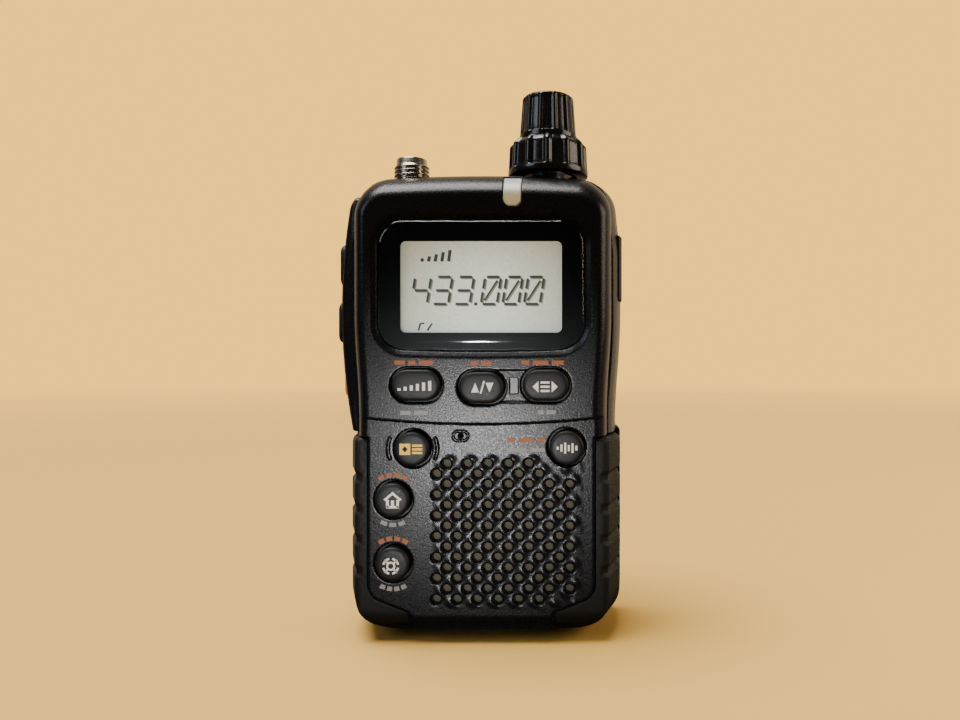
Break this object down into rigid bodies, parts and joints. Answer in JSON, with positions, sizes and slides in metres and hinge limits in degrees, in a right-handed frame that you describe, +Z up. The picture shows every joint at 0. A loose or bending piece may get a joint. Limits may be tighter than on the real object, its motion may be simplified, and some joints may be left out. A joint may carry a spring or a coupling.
{
  "type": "handheld radio",
  "caption": "Pocket-size handheld radio with display, front keys, speaker grille, side keys, turning dial, threaded antenna jack and hinged battery cover.",
  "frame": {"origin": "on the base, in the middle of the case, at mid-depth", "axes": "+Z up along the height, the front panel faces -Y, +X to the right seen from the front"},
  "size_m": [0.0516, 0.0232, 0.0956],
  "materials": {
    "case_black": "fine spark-eroded satin black",
    "grip_rubber": "matt elastomer",
    "lens_clear": "glossy smoke-clear acrylic",
    "mask_black": "black back-printing",
    "lcd_grey": "pale grey-green reflective display",
    "diffuser_white": "white diffuser",
    "holder_white": "natural plastic",
    "elastomer_pink": "layered conductive elastomer",
    "indicator_clear": "translucent",
    "key_rubber": "satin silicone rubber",
    "power_orange": "satin silicone rubber",
    "mat_grey": "silicone rubber",
    "dial_black": "polished black",
    "cover_rubber": "soft rubber",
    "seal_grey": "silicone",
    "board_green": "solder mask",
    "steel_bright": "plated",
    "nickel_brass": "nickel-plated brass",
    "gold_contact": "gold plated",
    "insulator_white": "fluoropolymer",
    "cloth_dark": "woven mesh",
    "paper_cone": "coated film",
    "jack_black": "moulded",
    "battery_wrap": "shrink-wrapped pack"
  },
  "bodies": {
    "case": {"front_case": "case_black", "rear_case": "case_black", "case_gasket": "seal_grey", "grip_left": "grip_rubber", "grip_right": "grip_rubber", "case_screws": "steel_bright", "display_lens": "lens_clear", "lens_mask": "mask_black", "lcd_glass": "lcd_grey", "lcd_backlight": "diffuser_white", "lcd_holder": "holder_white", "lcd_connector": "elastomer_pink", "status_lens": "indicator_clear", "status_led": "insulator_white", "microphone_screen": "steel_bright", "microphone": "steel_bright", "speaker_cloth": "cloth_dark", "speaker_frame": "steel_bright", "speaker_cone": "paper_cone", "speaker_magnet": "steel_bright", "key_mat": "mat_grey", "key_domes": "steel_bright", "main_board": "board_green", "radio_board": "board_green", "shield_can": "steel_bright", "board_connector": "holder_white", "antenna_jack": "nickel_brass", "antenna_insulator": "insulator_white", "antenna_contact": "gold_contact", "antenna_washer": "steel_bright", "encoder_body": "steel_bright", "encoder_nut": "steel_bright", "side_switch_board": "board_green", "side_switches": "jack_black", "audio_jack": "jack_black", "charging_jack": "jack_black", "strap_post": "steel_bright", "battery_pack": "battery_wrap", "battery_contacts": "gold_contact", "cover_gasket": "seal_grey"},
    "dial": {"encoder_shaft": "steel_bright", "dial_skirt": "dial_black", "dial_cap": "dial_black"},
    "cover": {"battery_cover": "case_black"},
    "latch": {"battery_latch": "case_black"},
    "jack_flap": {"jack_cover": "cover_rubber"},
    "key_left_body": {"key_left": "key_rubber"},
    "key_middle_body": {"key_middle": "key_rubber"},
    "key_right_body": {"key_right": "key_rubber"},
    "key_function_body": {"key_function": "key_rubber"},
    "key_mode_body": {"key_mode": "key_rubber"},
    "key_home_body": {"key_home": "key_rubber"},
    "key_link_body": {"key_link": "key_rubber"},
    "ptt_button_body": {"ptt_button": "key_rubber"},
    "monitor_button_body": {"monitor_button": "key_rubber"},
    "power_button_body": {"power_button": "power_orange"}
  },
  "joints": [
    {"name": "dial_turn", "type": "hinge", "parent": "case", "child": "dial", "pos_m": [0.0111, 0, 0.081], "axis": [0, 0, 1], "continuous": true},
    {"name": "cover_swing", "type": "hinge", "parent": "case", "child": "cover", "pos_m": [0, 0.0106, 0.0606], "axis": [1, 0, 0], "range_deg": [0, 85]},
    {"name": "latch_slide", "type": "slide", "parent": "cover", "child": "latch", "axis": [0, 0, 1], "range_m": [0, 0.0014]},
    {"name": "jack_flap_swing", "type": "hinge", "parent": "case", "child": "jack_flap", "pos_m": [0.0239, 0.0055, 0.0647], "axis": [0, 0, 1], "range_deg": [0, 90]},
    {"name": "key_left_press", "type": "slide", "parent": "case", "child": "key_left_body", "axis": [0, 1, 0], "range_m": [0, 0.0005], "stiffness_N_per_m": 600},
    {"name": "key_middle_press", "type": "slide", "parent": "case", "child": "key_middle_body", "axis": [0, 1, 0], "range_m": [0, 0.0005], "stiffness_N_per_m": 600},
    {"name": "key_right_press", "type": "slide", "parent": "case", "child": "key_right_body", "axis": [0, 1, 0], "range_m": [0, 0.0005], "stiffness_N_per_m": 600},
    {"name": "key_function_press", "type": "slide", "parent": "case", "child": "key_function_body", "axis": [0, 1, 0], "range_m": [0, 0.0005], "stiffness_N_per_m": 600},
    {"name": "key_mode_press", "type": "slide", "parent": "case", "child": "key_mode_body", "axis": [0, 1, 0], "range_m": [0, 0.0005], "stiffness_N_per_m": 600},
    {"name": "key_home_press", "type": "slide", "parent": "case", "child": "key_home_body", "axis": [0, 1, 0], "range_m": [0, 0.0005], "stiffness_N_per_m": 600},
    {"name": "key_link_press", "type": "slide", "parent": "case", "child": "key_link_body", "axis": [0, 1, 0], "range_m": [0, 0.0005], "stiffness_N_per_m": 600},
    {"name": "ptt_button_press", "type": "slide", "parent": "case", "child": "ptt_button_body", "axis": [1, 0, 0], "range_m": [0, 0.0008], "stiffness_N_per_m": 800},
    {"name": "monitor_button_press", "type": "slide", "parent": "case", "child": "monitor_button_body", "axis": [1, 0, 0], "range_m": [0, 0.0005], "stiffness_N_per_m": 800},
    {"name": "power_button_press", "type": "slide", "parent": "case", "child": "power_button_body", "axis": [1, 0, 0], "range_m": [0, 0.0005], "stiffness_N_per_m": 800}
  ]
}
